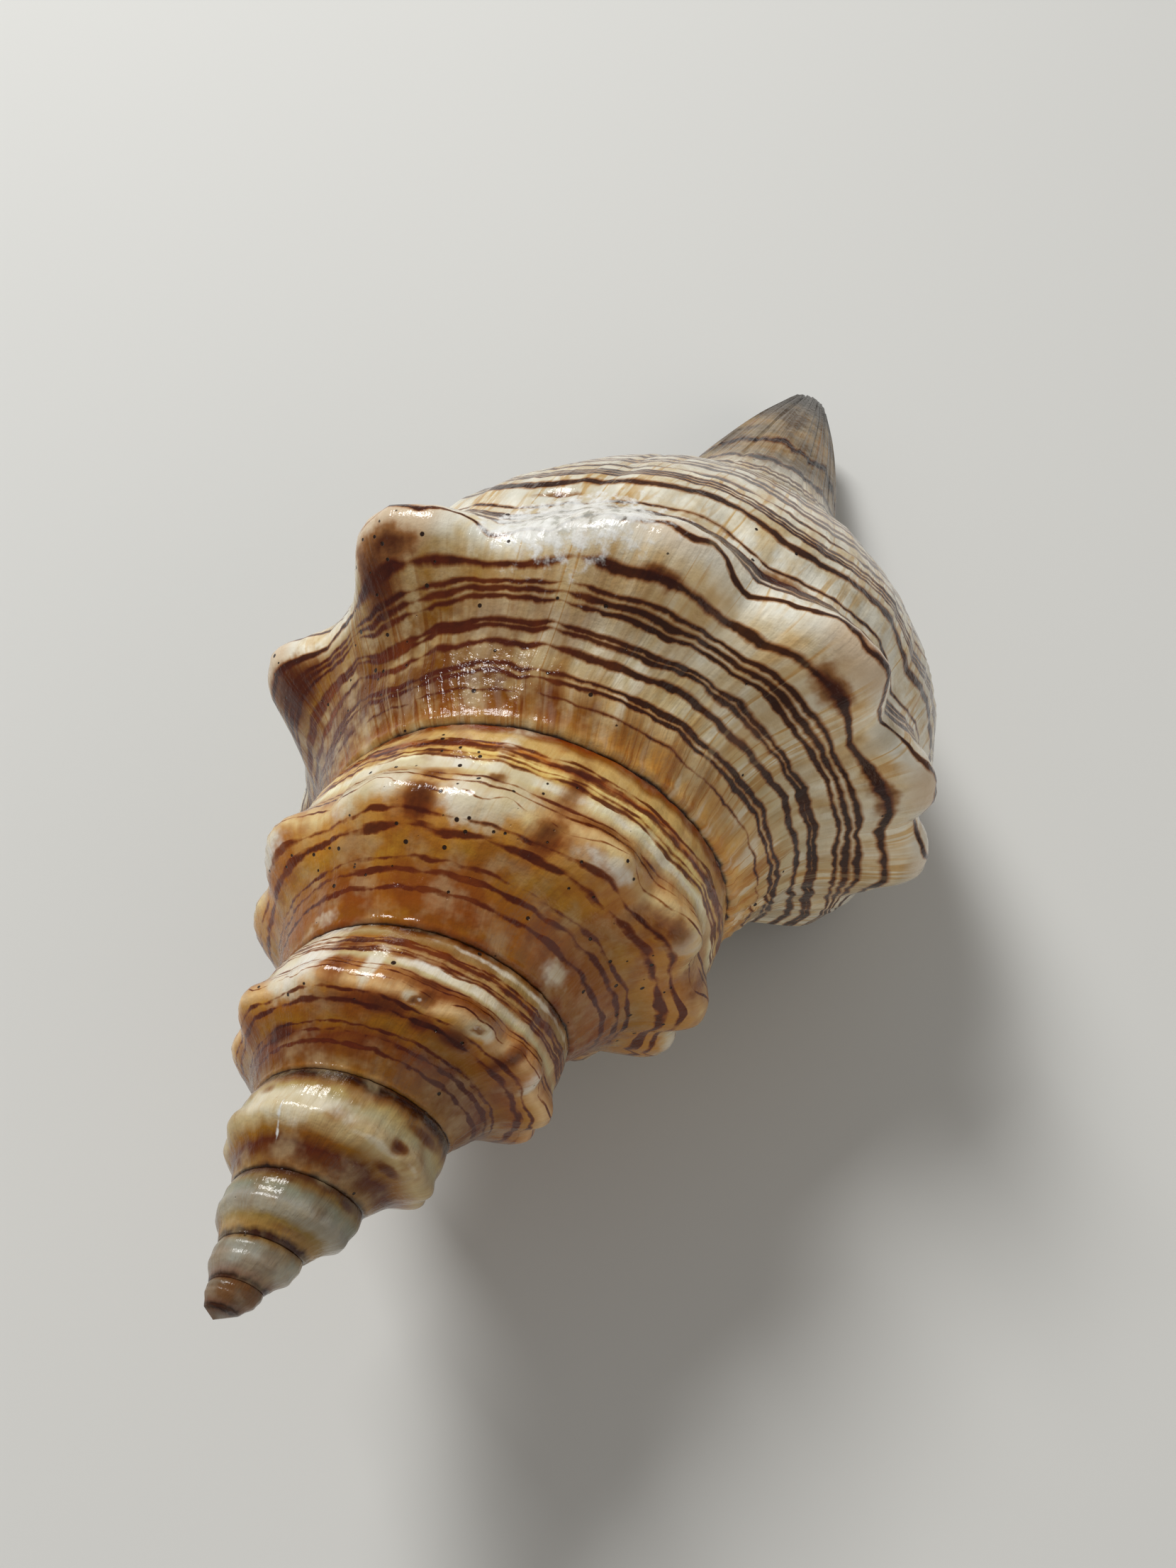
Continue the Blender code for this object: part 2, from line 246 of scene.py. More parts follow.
def mottle(u, v, seed):
    """Smooth patchy value of -1 to 1, with patches about 1 wide in u and v."""
    i, j = np.floor(u).astype(np.int64), np.floor(v).astype(np.int64)
    a, b = smooth(u - i), smooth(v - j)
    low = grain(i, j, seed) * (1 - a) + grain(i + 1, j, seed) * a
    high = grain(i, j + 1, seed) * (1 - a) + grain(i + 1, j + 1, seed) * a
    return 2 * (low * (1 - b) + high * b) - 1


def relief(turn, share):
    """What fine growth adds to the radius, in metres at the lip's size."""
    on_whorl = share <= 1
    thread = THREAD * bell(share, 0.020, 0.012) * (1 + 0.5 * wander(turn, 3, 0.012))
    seam = SEAM_DEPTH * (bell(share, 0, 0.006) + bell(share, 1, 0.008) * on_whorl)
    leaning = turn + 0.10 * share * (share < 0.2)
    near_lip = smooth(1 + (turn + 0.02) / 0.20)
    folds = FOLDS * (wander(leaning, 5, 0.014) + wander(turn, 9, 0.02) * near_lip)
    folds = folds + LIP_FOLDS * wander(leaning, 7, 0.0085) * bell(share, 0.0, 0.16) * near_lip
    swells = SWELLS * mottle(turn * 34, share * 5, 11)
    total = thread - seam + folds * (1 - 0.7 * bell(share, 0.02, 0.02)) + swells
    place, width, depth = SCAR
    healed = place + 0.004 * wander(share, 13, 0.25)
    total = total - depth * bell(turn, healed, width) * smooth(share / 0.12)
    total = total + 0.5 * depth * bell(turn, healed + 0.012, 0.008) * smooth(share / 0.3)
    for place, width, depth in CRACKS:
        cracked = place + 0.003 * wander(share, 15, 0.3)
        total = total - depth * bell(turn, cracked, width) * on_whorl
    return total + worn_relief(turn, share)


def worn_relief(turn, share):
    """Rubbed and chipped places, in metres at the lip's size."""

    def dent(spot, bow):
        place, wide, down, tall, depth = spot
        return -depth * bell(turn, place, wide) * bell(share, down + bow, tall)

    lumps = dent(WORN_KNOB, 0) * (1 + mottle(turn * 190, share * 24, 17))
    crescent = dent(CRESCENT, 8 * (turn - CRESCENT[0]) ** 2)
    ledge = dent(LEDGE, -0.09 * np.clip((turn + 2.49) / 0.08, 0, 1))
    return lumps + crescent + ledge


def surface_point(turn, share, fine):
    """Outer surface: share runs 0 to 1 from suture to suture, and 1 to 2 down to the canal's end."""
    turn, share = np.broadcast_arrays(np.asarray(turn, float), np.asarray(share, float))
    size = growth(turn)
    radius, height = whorl_outline(turn, np.clip(share, 0, 1))
    base_radius, base_height = base_outline(turn, np.clip(share - 1, 0, 1))
    knobs = (knobs_at(turn) + RIDGE * smooth((turn - FIRST_TURN) / 3)) * knob_band(share)
    radius = np.where(share > 1, base_radius, radius * size) + knobs * size
    height = np.where(share > 1, base_height, height * size)
    if fine:
        radius = radius + relief(turn, share) * size * smooth((turn - FIRST_TURN) / 0.4)
    return around_axis(radius, LIP_ANGLE + TURN * turn, height)


def around_axis(radius, angle, height):
    angle = np.broadcast_to(angle, np.shape(radius))
    return np.stack([radius * np.cos(angle), radius * np.sin(angle), height], -1)


def bent(points):
    """The straight shell's points with the canal bent."""
    points = np.array(points, float)
    bend = np.clip((points[:, 2] - BEND_START) / (CANAL_END - BEND_START), 0, None) ** 2
    swing = np.clip((points[:, 2] - SWING_START) / (CANAL_END - SWING_START), 0, 1)
    points[:, 0] += BEND[0] * bend
    points[:, 1] += BEND[1] * bend + SWING * swing * (1.25 - swing)
    return points


def growth_steps(steps_per_turn):
    """Turns at which a section stands, from the spire's point to the lip, one of them at -1."""
    steps = [0.0]
    while steps[-1] > FIRST_TURN:
        count = max(FEWEST_STEPS, steps_per_turn * float(growth(steps[-1])) ** THINNING)
        following = steps[-1] - 1 / count
        steps.append(-1.0 if steps[-1] > -1 > following else following)
    steps[-1] = FIRST_TURN
    return np.array(steps[::-1])


def strip(first, second):
    """Triangles between two rows of (place, vertex) that may have unlike counts."""
    faces, i, j = [], 0, 0
    while i < len(first) - 1 or j < len(second) - 1:
        if j == len(second) - 1 or (i < len(first) - 1 and first[i + 1][0] <= second[j + 1][0]):
            faces.append((first[i][1], second[j][1], first[i + 1][1]))
            i += 1
        else:
            faces.append((first[i][1], second[j][1], second[j + 1][1]))
            j += 1
    return [face for face in faces if len(set(face)) == 3]


def grid(rows):
    """Quads of a grid of vertices, facing out when a row runs down and the next is later in growth."""
    rows = np.asarray(rows)
    quads = np.stack([rows[:-1, :-1], rows[1:, :-1], rows[1:, 1:], rows[:-1, 1:]], -1)
    return [tuple(quad) for quad in quads.reshape(-1, 4).tolist()]


class Surface:
    """Points, faces and, at each corner of a face, its turn and share."""

    def __init__(self, points, places):
        self.points = bent(points)
        self.places = np.asarray(places, float)
        self.faces, self.corners, self.finish = [], [], []

    def add(self, faces, finish=0, shown=None):
        """Faces of one finish; shown gives the turn and share of a vertex where they differ here."""
        shown = shown or {}
        for face in faces:
            self.faces.append(face)
            self.finish.append(finish)
            self.corners += [shown.get(vertex, self.places[vertex]) for vertex in face]


def spaced(row):
    return [(k / (len(row) - 1), vertex) for k, vertex in enumerate(row)]


def outer_surface(steps_per_turn, whorl_shares, base_rows, fine):
    """The shell as if it were solid, with a step where the lip ends."""
    turns = growth_steps(steps_per_turn)
    count, rows_down = len(turns), len(whorl_shares)
    last = int(np.argmin(np.abs(turns + 1)))
    base_shares = 1 + np.arange(base_rows + 1) / base_rows
    whorl_turn, whorl_share = np.broadcast_arrays(turns[:, None], np.asarray(whorl_shares)[None, :])
    base_turn, base_share = np.broadcast_arrays(turns[last:, None], base_shares[None, :])
    whorl = np.arange(count * rows_down).reshape(count, rows_down)
    base = whorl.size + np.arange(base_turn.size).reshape(-1, base_rows + 1)
    base[0, 0] = whorl[-1, 0]  # the suture under the lip
    end = whorl.size + base_turn.size
    apex = end + 1
    points = np.concatenate([
        surface_point(whorl_turn, whorl_share, fine).reshape(-1, 3),
        surface_point(base_turn, base_share, fine).reshape(-1, 3),
        [(0, 0, CANAL_END), (0, 0, APEX_HEIGHT)],
    ])
    places = np.concatenate([
        np.stack([whorl_turn, whorl_share], -1).reshape(-1, 2),
        np.stack([base_turn, base_share], -1).reshape(-1, 2),
        [(-0.3, 2.0), (FIRST_TURN, 0.5)],
    ])
    shell = Surface(points, places)
    rows = np.hstack([whorl[last:], base])
    under_lip = {whorl[-1, 0]: (-1.0, 1.0)}
    shell.add(grid(whorl[: last + 1]))
    shell.add(grid(rows[:2]), shown=under_lip)
    shell.add(grid(rows[1:]))
    # Each earlier whorl ends on the suture, which is the edge of the whorl after it.
    lower = list(zip(turns, whorl[: last + 1, -1].tolist()))
    suture = [(turn - 1, vertex) for turn, vertex in zip(turns, whorl[:, 0].tolist()) if turn - 1 >= FIRST_TURN]
    shell.add(strip(suture, lower), shown={vertex: (turn, 1.0) for turn, vertex in suture})
    foot = base[:, -1].tolist()
    shell.add([(earlier, later, end) for earlier, later in zip(foot, foot[1:])])
    # The step at the lip, from the columella out to the lip's edge.
    shell.add(strip(spaced(rows[-1].tolist()), spaced(base[0].tolist())), finish=1)
    shell.add([(foot[-1], foot[0], end)], finish=1)
    opening = whorl[turns < suture[0][0] + 1, 0].tolist() + [suture[0][1]] + whorl[0, ::-1].tolist()
    shell.add([(apex, later, earlier) for earlier, later in zip(opening, opening[1:])])
    return shell


def whorl_rows(count):
    """Shares of the rows of a whorl, close together beside the sutures."""
    near = [0.0, 0.004, 0.009, 0.015, 0.022, 0.030, 0.040, 0.052]
    return np.concatenate([near, np.linspace(0.07, 0.955, count), [0.972, 0.984, 0.993]])


def offset_outline(radius, height, distance):
    """An outline in the radius and height plane moved sideways, to its left for a distance over 0."""
    along_r, along_z = np.gradient(radius), np.gradient(height)
    length = np.hypot(along_r, along_z)
    return radius - distance * along_z / length, height + distance * along_r / length


def hollow_section(turn, side):
    """One closed section of the hollow, and the share at each of its points."""
    deep, at_lip = HOLLOW_ENDS
    end = deep + (at_lip - deep) * (1 - smooth(-turn / CANAL_REACH))
    wall = LIP_WALL + (WALL - LIP_WALL) * smooth(-turn / 0.06)
    whorl_share = np.linspace(0.30, 1, side // 2 + 1)[:-1]
    base_share = np.linspace(0, end, side)
    whorl, base = along(WHORL, whorl_share), along(BASE, base_share)
    outer_share = np.append(whorl_share, 1 + base_share)
    ridges = np.cos(TURN * outer_share / LIRA_GAP) * smooth((0.9 + turn) / 0.7)
    outer = offset_outline(np.append(whorl[0], base[0]), np.append(whorl[1], base[1]), wall + LIRA * ridges)
    column_share = np.linspace(end, 0.05, side)
    plaits = sum(height * MM * bell(column_share, place, width) for place, width, height in PLAITS)
    column = offset_outline(*along(COLUMELLA, column_share), GLAZE + plaits)
    shares = np.append(outer_share, 3 + column_share)
    return np.append(outer[0], column[0]), np.append(outer[1], column[1]), shares


def loft(sections, places):
    """A closed loft through sections with the same number of points."""
    sides = len(sections[0])
    rings = np.arange(len(sections) * sides).reshape(-1, sides)
    made = Surface(np.concatenate(sections), np.concatenate(places))
    made.add(grid(np.hstack([rings, rings[:, :1]])), finish=1)
    made.add([tuple(rings[0].tolist()), tuple(rings[-1][::-1].tolist())], finish=1)
    return made


def hollow_surface(side, steps):
    """The hollow that the animal lived in, from inside the shell to just past the lip."""
    sections, places = [], []
    for turn in np.linspace(-HOLLOW_TURNS, HOLLOW_PAST_LIP, steps):
        radius, height, share = hollow_section(turn, side)
        sections.append(growth(turn) * around_axis(radius, LIP_ANGLE + TURN * turn, height))
        places.append(np.stack([np.full_like(share, turn), share], -1))
    return loft(sections, places)


def canal_surface():
    """The groove from the mouth to the end of the canal."""
    way = np.array(CANAL)
    heights = np.linspace(way[0, 0], way[-1, 0], CANAL_SECTIONS)
    distance, angle, radius = (np.interp(heights, way[:, 0], way[:, k]) for k in (1, 2, 3))
    ring = -TURN * np.arange(CANAL_SIDES) / CANAL_SIDES
    sections, places = [], []
    for k, height in enumerate(heights):
        middle = around_axis(distance[k] * MM, math.radians(angle[k]), height * MM)
        circle = np.stack([np.cos(ring), np.sin(ring), 0 * ring], -1) * radius[k] * MM
        sections.append(middle + circle)
        places.append(np.full((CANAL_SIDES, 2), CANAL_MARK))
    return loft(sections, places)


def resting_pose(points):
    """Matrix that lays the shell on the side of its hull that faces the table."""
    hull = bmesh.new()
    for point in points:
        hull.verts.new(point)
    bmesh.ops.convex_hull(hull, input=hull.verts)
    bmesh.ops.recalc_face_normals(hull, faces=hull.faces)
    under = max(hull.faces, key=lambda face: face.normal.dot(DOWN))
    up = -under.normal.copy()
    hull.free()
    forward = Vector((0, 0, 1)) - up * up.z
    forward.normalize()
    turned = Matrix((forward.cross(up), forward, up))
    laid = points @ np.array(turned).T
    low, high = laid.min(0), laid.max(0)
    shift = Vector((-(low[0] + high[0]) / 2, -(low[1] + high[1]) / 2, -low[2]))
    return Matrix.Translation(shift) @ turned.to_4x4()


def placed(name, data):
    """A new object in the scene."""
    thing = bpy.data.objects.new(name, data)
    bpy.context.scene.collection.objects.link(thing)
    return thing


def mesh_object(name, surface, pose, finishes):
    """An object of a surface, with the map of turn and share that the finishes read."""
    mesh = bpy.data.meshes.new(name)
    mesh.from_pydata(surface.points.tolist(), [], surface.faces)
    layer = mesh.uv_layers.new(name=GROWTH_MAP)
    layer.data.foreach_set("uv", np.asarray(surface.corners, np.float32).ravel())
    for finish in finishes:
        mesh.materials.append(finish)
    mesh.polygons.foreach_set("material_index", np.asarray(surface.finish, np.int32))
    mesh.transform(pose)
    return placed(name, mesh)


def carved(body, cutters):
    """The body's mesh with the hollow and the canal cut out of it."""
    for cutter in cutters:
        cut = body.modifiers.new(cutter.name, "BOOLEAN")
        cut.operation = "DIFFERENCE"
        cut.solver = "EXACT"
        cut.object = cutter
    graph = bpy.context.evaluated_depsgraph_get()
    mesh = bpy.data.meshes.new_from_object(
        body.evaluated_get(graph), preserve_all_data_layers=True, depsgraph=graph)
    body.modifiers.clear()
    body.data = mesh
    for cutter in cutters:
        bpy.data.objects.remove(cutter, do_unlink=True)
    return mesh


def fit_in_box(mesh, box):
    """Stands the shell on the box's floor and draws it in along each axis until it is inside the box."""
    points = np.empty(len(mesh.vertices) * 3)
    mesh.vertices.foreach_get("co", points)
    points = points.reshape(-1, 3)
    low, high = np.array(box[0]), np.array(box[1])
    own_low, own_high = points.min(0), points.max(0)
    scale = np.minimum(1, INSIDE * (high - low) / (own_high - own_low))
    middle, own_middle = (low + high) / 2, (own_low + own_high) / 2
    middle[2], own_middle[2] = low[2], own_low[2]
    points = middle + (points - own_middle) * scale
    mesh.vertices.foreach_set("co", points.ravel())
    mesh.update()


# ---- markings

GROWTH_MAP = "growth"
FULL_KNOB = 5 * MM  # a knob's height at which its marks are at their strongest
SWAY = ((0.08, 0.15, 0.28, 0.36, 0.42, 0.50, 0.60, 0.85, 1.05, 1.5),
        (0, 0.008, 0.014, 0.026, 0.026, -0.01, -0.085, -0.075, -0.07, 0.0))  # how far a line bows, by share
GROWTH_STOPS = ((-0.429, 0.005), (-0.343, 0.007), (-0.482, 0.008))  # turns where the lines fade, and their reach
WORN_RINGS = ((-2.295, -2.228), 0.452)  # turns and share of two worn rings on the third whorl


def markings(mesh):
    """Writes on the mesh where each marking of the finish lies, worked out from turn and share."""
    uv = np.empty(len(mesh.loops) * 2, np.float32)
    mesh.uv_layers[GROWTH_MAP].data.foreach_get("uv", uv)
    turn, share = uv.reshape(-1, 2).astype(float).T
    for name, values in (
        ("line_way", line_way(turn, share)),
        ("amber", amber(turn, share)),
        ("brown", patches(turn, share, BROWN_PATCHES)),
        ("ivory", patches(turn, share, IVORY_PATCHES)),
        ("knob", knobs_at(turn) / FULL_KNOB * knob_band(share)),
        ("worn", worn(turn, share)),
        ("bored", patches(turn, share, BORED_PATCHES)),
        ("firm", firmness(turn, share)),
    ):
        mesh.attributes.new(name, "FLOAT", "CORNER").data.foreach_set("value", values.astype(np.float32))


def line_way(turn, share):
    """Share straightened so that each spiral line keeps one value: lines bow away from the knobs."""
    bow = knobs_at(turn) / FULL_KNOB - 0.55
    sway = np.interp(share, *SWAY)
    sway = sway * np.where((turn < -1) & (share > 0.5), 0.15, 1)
    drift = 0.038 * smooth((-0.46 - turn) / 0.03) - 0.006 * bell(turn, -0.30, 0.04)
    drift = drift + 2 * np.clip(turn + 0.075, 0, 0.06)
    drift = drift * np.where(turn > -1, smooth(share / 0.3), 0) * smooth((1.2 - share) / 0.6)
    waves = 0.010 * wander(turn, 23, 0.05) * smooth((share - 0.55) / 0.2)
    waves = waves + 0.022 * wander(turn, 29, 0.045) * bell(share, 0.505, 0.05)
    return share + sway * bow - drift + waves


def firmness(turn, share):
    """Where the spiral lines are bolder than usual, over 0, or fade out at a growth edge, under 0."""
    bolder = bell(turn, -1.06, 0.10) + bell(turn, -2.10, 0.09)
    fades = sum(bell(turn, place, width) for place, width in GROWTH_STOPS)
    rubbed = bell(turn, -0.452, 0.020) * bell(share, 0.505, 0.03)
    return bolder - 3 * fades * (share < 0.44) - 5 * rubbed


def amber(turn, share):
    """How far the ground is stained amber, 0 to 1: the older part of the last whorl."""
    older = smooth((-0.25 - turn) / 0.18)
    by_suture = smooth((0.17 - share) / 0.10) * smooth((-0.10 - turn) / 0.22)
    crest = 0.7 * bell(turn, -0.405, 0.022) * bell(share, 0.46, 0.06)
    return np.clip(older * (1 - smooth((share - 0.40) / 0.06)) + 0.75 * by_suture + crest, 0, 1)


# Patches: turn, share, half width in turn, half width in share, strength.
BROWN_PATCHES = (
    (-1.372, 0.455, 0.011, 0.085, 1), (-1.372, 0.6, 0.008, 0.05, 0.8), (-1.28, 0.45, 0.013, 0.09, 1),
    (-1.281, 0.72, 0.009, 0.24, 0.62), (-1.33, 0.645, 0.006, 0.03, 0.8), (-1.24, 0.6, 0.045, 0.05, 0.66),
    (-1.172, 0.44, 0.02, 0.06, 0.66), (-1.42, 0.8, 0.05, 0.05, 0.62), (-1.1, 0.5, 0.016, 0.1, 0.6),
    (-2.464, 0.235, 0.026, 0.045, 1.1), (-2.384, 0.55, 0.012, 0.13, 0.85), (-2.324, 0.385, 0.05, 0.045, 0.9),
    (-2.277, 0.37, 0.013, 0.05, 1), (-2.24, 0.36, 0.022, 0.035, 0.8), (-2.29, 0.6, 0.022, 0.03, 1),
    (-2.275, 0.57, 0.06, 0.07, 0.66), (-2.286, 0.5, 0.01, 0.08, 0.9), (-2.18, 0.47, 0.009, 0.15, 0.75),
    (-2.395, 0.76, 0.02, 0.06, 0.7), (-3.194, 0.54, 0.015, 0.07, 1.1), (-3.17, 0.345, 0.026, 0.04, 1),
    (-3.16, 0.78, 0.042, 0.06, 0.9), (-6.3, 0.5, 0.38, 0.9, 0.55), (-3.44, 0.74, 0.016, 0.05, 0.55),
    (-4.31, 0.84, 0.035, 0.06, 0.6), (-4.17, 0.88, 0.03, 0.07, 0.7), (-4.24, 0.2, 0.09, 0.07, 0.62),
    # The last whorl's patches at share 0.4, on the spire side of each knob, and at share 0.58 to 0.63 between two
    # knobs are brown deepened as painted shade.
    (-0.542, 0.39, 0.026, 0.048, 1.1), (-0.449, 0.395, 0.012, 0.055, 1), (-0.437, 0.42, 0.014, 0.022, 1),
    (-0.303, 0.399, 0.011, 0.014, 1), (-0.213, 0.398, 0.012, 0.017, 1.1), (-0.143, 0.396, 0.013, 0.015, 1),
    (-0.262, 0.625, 0.026, 0.035, 0.85), (-0.292, 0.58, 0.005, 0.06, 0.6), (-0.374, 0.735, 0.012, 0.013, 1),
    (-0.66, 0.4, 0.03, 0.035, 0.9), (-0.745, 0.4, 0.02, 0.03, 0.9), (-0.82, 0.4, 0.02, 0.03, 0.9),
    (-0.905, 0.4, 0.02, 0.03, 0.9), (-1.62, 0.5, 0.012, 0.1, 0.9), (-2.295, 0.452, 0.0045, 0.015, 1.2),
    (-2.228, 0.452, 0.004, 0.013, 1), (-1.71, 0.46, 0.022, 0.07, 0.8), (-1.8, 0.55, 0.012, 0.12, 0.9),
    (-1.9, 0.48, 0.018, 0.07, 0.8))
IVORY_PATCHES = (
    (-1.418, 0.53, 0.036, 0.11, 1), (-1.328, 0.54, 0.034, 0.13, 1), (-1.36, 0.695, 0.1, 0.035, 0.95),
    (-1.2, 0.695, 0.07, 0.025, 0.8), (-1.335, 0.85, 0.01, 0.13, 0.75), (-1.235, 0.45, 0.024, 0.05, 0.75),
    (-1.155, 0.46, 0.014, 0.08, 0.65), (-1.45, 0.06, 0.03, 0.045, 0.62), (-1.19, 0.09, 0.022, 0.05, 0.72),
    (-1.52, 0.44, 0.03, 0.06, 0.8), (-2.445, 0.72, 0.042, 0.31, 1.2), (-2.352, 0.62, 0.01, 0.19, 1),
    (-2.26, 0.695, 0.09, 0.035, 0.95), (-2.225, 0.465, 0.014, 0.05, 0.9), (-2.3, 0.46, 0.01, 0.04, 0.75),
    (-2.14, 0.47, 0.022, 0.07, 0.7), (-2.2, 0.93, 0.15, 0.03, 0.66), (-3.385, 0.58, 0.11, 0.17, 1.05),
    (-3.2, 0.45, 0.1, 0.04, 0.6), (-0.385, 0.6, 0.024, 0.16, 0.9), (-1.66, 0.56, 0.03, 0.12, 0.9),
    (-1.76, 0.56, 0.03, 0.12, 0.9), (-1.87, 0.6, 0.03, 0.1, 0.9), (-2.66, 0.55, 0.04, 0.14, 0.9),
    (-2.8, 0.55, 0.05, 0.14, 0.9), (-1.02, 0.55, 0.03, 0.14, 0.8))
BORED_PATCHES = (
    (-1.43, 0.42, 0.07, 0.14, 1), (-1.36, 0.6, 0.07, 0.26, 1), (-0.452, 0.45, 0.032, 0.06, 1),
    (-0.5, 0.3, 0.06, 0.12, 0.6), (-2.4, 0.35, 0.05, 0.1, 0.5), (-1.25, 0.25, 0.2, 0.2, 0.5))


def patches(turn, share, places):
    """Strength of a set of patches, 1 in the middle of the firmest."""
    total = np.zeros_like(turn)
    for place, down, wide, tall, strength in places:
        away = np.abs((turn - place) / wide) ** 2.3 + np.abs((share - down) / tall) ** 2.3
        total = np.maximum(total, strength * np.exp(-0.7 * away))
    return total


def worn(turn, share):
    """Chalky rubbed places, 0 to 1."""
    crest = bell(turn, -0.352, 0.045) * bell(share, 0.57, 0.17)
    places, down = WORN_RINGS
    away = np.min([np.abs(turn - place) for place in places], axis=0) / 0.0085
    rings = 0.8 * bell(np.hypot(away, (share - down) / 0.028), 0.75, 0.28)
    cracks = sum(bell(turn, place, 0.0016) * bell(share, 0.45, 0.35) for place, _, _ in CRACKS)
    return np.clip(crest + rings + 0.62 * cracks, 0, 1)


def linear(code):
    """Linear colour of an sRGB hex value."""
    parts = [int(code[k : k + 2], 16) / 255 for k in (1, 3, 5)]
    return tuple(c / 12.92 if c <= 0.04045 else ((c + 0.055) / 1.055) ** 2.4 for c in parts) + (1.0,)


def plug(tree, made, inputs):
    """Gives a node's inputs their links, colours and values, by name or in order."""
    for key, value in inputs.items() if isinstance(inputs, dict) else enumerate(inputs):
        if isinstance(value, bpy.types.NodeSocket):
            tree.links.new(value, made.inputs[key])
        else:
            made.inputs[key].default_value = linear(value) if isinstance(value, str) else value


def node(tree, kind, inputs=(), mode=None, stops=(), out=0, **settings):
    """Adds one node with its mode, settings, inputs and ramp stops, and gives one of its outputs."""
    made = tree.nodes.new("ShaderNode" + kind)
    for name in ("operation", "interpolation_type", "blend_type"):
        if mode and hasattr(made, name):
            settings[name] = mode
    for name, value in settings.items():
        setattr(made, name, value)
    plug(tree, made, inputs)
    if stops:
        ramp = made.color_ramp.elements
        ramp.remove(ramp[1])
    for k, (place, colour) in enumerate(stops):
        stop = ramp.new(place) if k else ramp[0]
        stop.position = place
        stop.color = linear(colour) if isinstance(colour, str) else (colour,) * 3 + (1.0,)
    return made.outputs[out]


SOFT = "SMOOTHSTEP"
COLOURS = {"out": 2, "data_type": "RGBA"}  # for a mix of colours
AROUND, SLOPE = 176.0, 33.0  # millimetres at the lip, round the shoulder and from suture to suture


def growth_streaks(add, turn, share, across, down, seed, detail=2.0, rough=0.55):
    """Streaks that follow the growth edge, as wide and as tall as given in millimetres at the lip."""
    x = add("Math", (turn, AROUND / across), "MULTIPLY")
    y = add("Math", (share, SLOPE / down), "MULTIPLY")
    place = add("CombineXYZ", (x, y, seed))
    return add("TexNoise", {"Vector": place, "Scale": 1.0, "Detail": detail, "Roughness": rough})


def shell_patches(add, size, seed):
    """Patches of one size in every direction, in millimetres on the shell."""
    moved = add("VectorMath", (add("TexCoord", out=3), (seed * 0.1, 0, 0)), "ADD")
    return add("TexNoise", {"Vector": moved, "Scale": 1 / (size * MM), "Detail": 3.0, "Roughness": 0.6})


def line_peaks(lines):
    """Places and firmness of a row of lines whose soft skirts may meet."""
    peaks = []
    for k, (place, half, firm) in enumerate(lines):
        if not k or place - SKIRT * half >= peaks[-1][0]:
            peaks.append((place - SKIRT * half, 0.0))
        else:
            before, wide, strong = lines[k - 1]
            fall, rise = strong / (SKIRT * wide), firm / (SKIRT * half)
            meet = (strong + fall * before - firm + rise * place) / (fall + rise)
            peaks[-1] = (meet, strong - fall * (meet - before))
        peaks += [(place, firm), (place + SKIRT * half, 0.0)]
    return peaks


def spiral_lines(add, way, lines):
    """Firmness of a set of spiral lines, 0 to 1: each is a place, a half width in shares and a firmness."""
    drawn = None
    for first in range(0, len(lines), LINES_IN_RAMP):
        some = lines[first : first + LINES_IN_RAMP]
        start, end = some[0][0] - 0.05, some[-1][0] + 0.05
        stops = [((place - start) / (end - start), firm) for place, firm in line_peaks(some)]
        ramp = add("ValToRGB", [add("MapRange", (way, start, end))], stops=stops)
        drawn = add("Math", (drawn, ramp), "MAXIMUM") if drawn else ramp
    return drawn


SKIRT = 2.4  # reach of a line's brown fringe, in half widths
LINES_IN_RAMP = 8  # a colour ramp holds 32 stops, and a line takes up to 3

# Spiral lines of the last whorl: place, half width, firmness. A line under 0.8 firm is broken up.
LAST_LINES = (
    (0.103, 0.0041, 0.66), (0.148, 0.0054, 0.94), (0.168, 0.0066, 0.98), (0.229, 0.0073, 1), (0.27, 0.0066, 0.98),
    (0.283, 0.0062, 1), (0.33, 0.0046, 0.94), (0.347, 0.0054, 0.96), (0.364, 0.0044, 0.9), (0.404, 0.007, 0.98),
    (0.505, 0.0085, 1), (0.597, 0.0115, 1.05), (0.636, 0.0085, 1.02), (0.655, 0.0085, 1.05), (0.705, 0.0073, 0.8),
    (0.82, 0.0128, 1.04), (0.884, 0.0073, 0.94), (0.904, 0.0068, 0.92), (0.928, 0.0081, 0.96),
    (0.985, 0.0073, 0.84), (1.05, 0.0085, 0.92), (1.08, 0.0073, 0.9), (1.13, 0.0081, 0.88), (1.16, 0.0073, 0.86),
    (1.215, 0.0085, 0.9), (1.245, 0.0073, 0.86), (1.305, 0.0098, 0.92), (1.34, 0.0073, 0.86), (1.41, 0.0098, 0.92),
    (1.445, 0.0085, 0.86), (1.52, 0.0098, 0.9), (1.56, 0.0085, 0.86), (1.64, 0.011, 0.9), (1.74, 0.011, 0.86))
SPIRE_LINES = (
    (0.15, 0.0075, 0.8), (0.215, 0.007, 0.72), (0.258, 0.006, 0.66), (0.355, 0.008, 0.8), (0.402, 0.006, 0.66),
    (0.51, 0.0045, 0.56), (0.585, 0.006, 0.62), (0.628, 0.006, 0.62), (0.742, 0.008, 0.76), (0.766, 0.006, 0.62),
    (0.812, 0.015, 0.84), (0.85, 0.008, 0.72))

